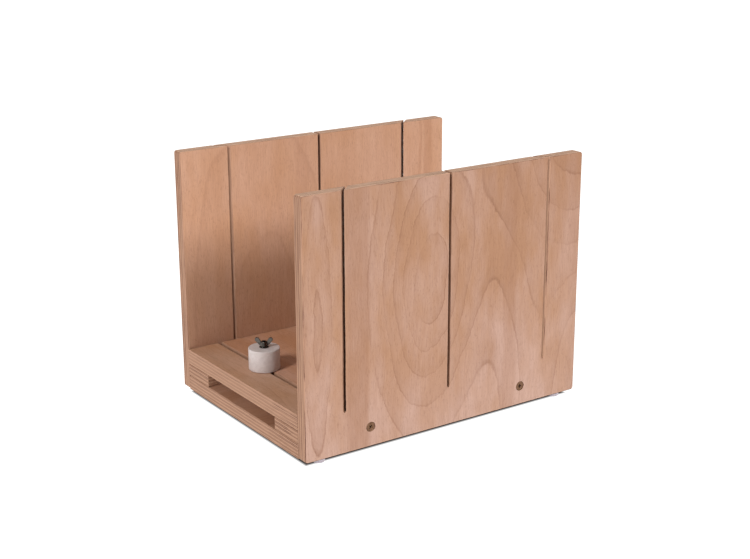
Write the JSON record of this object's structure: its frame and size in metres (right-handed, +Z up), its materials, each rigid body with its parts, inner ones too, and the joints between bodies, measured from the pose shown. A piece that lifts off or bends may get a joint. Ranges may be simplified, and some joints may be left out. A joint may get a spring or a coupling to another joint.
{
  "type": "mitre box",
  "caption": "Open-topped plywood mitre box: slotted side walls on a layered base with a tunnel, and a clamp stop that slides along a cross groove in the floor.",
  "frame": {"origin": "middle of the box on the bench surface, under the feet", "axes": "+X along the channel, away from the end with the cross groove; +Y from the front wall to the back wall; +Z up"},
  "size_m": [0.312, 0.23, 0.245],
  "materials": {
    "plywood": "fine-sanded birch plywood, pinkish tan, unfinished",
    "yellow_zinc": "yellow-passivated steel, dulled",
    "bright_zinc": "bright zinc-plated steel",
    "white_plastic": "turned white plastic, satin",
    "clear_bumper": "milky translucent bumper"
  },
  "bodies": {
    "box": {"front_wall": "plywood", "back_wall": "plywood", "base_plate": "plywood", "rail_front": "plywood", "rail_back": "plywood", "floor_plate": "plywood", "floor_end_strip": "plywood", "wall_screw_front_left": "yellow_zinc", "wall_screw_front_right": "yellow_zinc", "wall_screw_back_left": "yellow_zinc", "wall_screw_back_right": "yellow_zinc", "base_screw_front_left": "yellow_zinc", "base_screw_front_middle": "yellow_zinc", "base_screw_front_right": "yellow_zinc", "base_screw_back_left": "yellow_zinc", "base_screw_back_middle": "yellow_zinc", "base_screw_back_right": "yellow_zinc", "foot_front_left": "clear_bumper", "foot_front_right": "clear_bumper", "foot_back_left": "clear_bumper", "foot_back_right": "clear_bumper"},
    "clamp": {"clamp_bolt": "bright_zinc", "bolt_washer": "bright_zinc"},
    "stop": {"stop_block": "white_plastic"},
    "nut_seat": {"nut_washer": "bright_zinc"},
    "nut": {"wing_nut": "bright_zinc"}
  },
  "joints": [
    {"name": "stop_slide", "type": "slide", "parent": "box", "child": "clamp", "axis": [0, 1, 0], "range_m": [-0.0685, 0.0405]},
    {"name": "stop_turn", "type": "hinge", "parent": "clamp", "child": "stop", "pos_m": [-0.121, 0.014, 0.0578], "axis": [0, 0, 1], "continuous": true},
    {"name": "nut_turn", "type": "hinge", "parent": "clamp", "child": "nut_seat", "pos_m": [-0.121, 0.014, 0.069], "axis": [0, 0, 1], "range_deg": [0, 1080]},
    {"name": "nut_lift", "type": "slide", "parent": "nut_seat", "child": "nut", "axis": [0, 0, 1], "range_m": [0, 0.0022]}
  ],
  "couplings": [
    {"joint": "nut_lift", "follows": "nut_turn", "m_per_rad": 0.00011141}
  ]
}
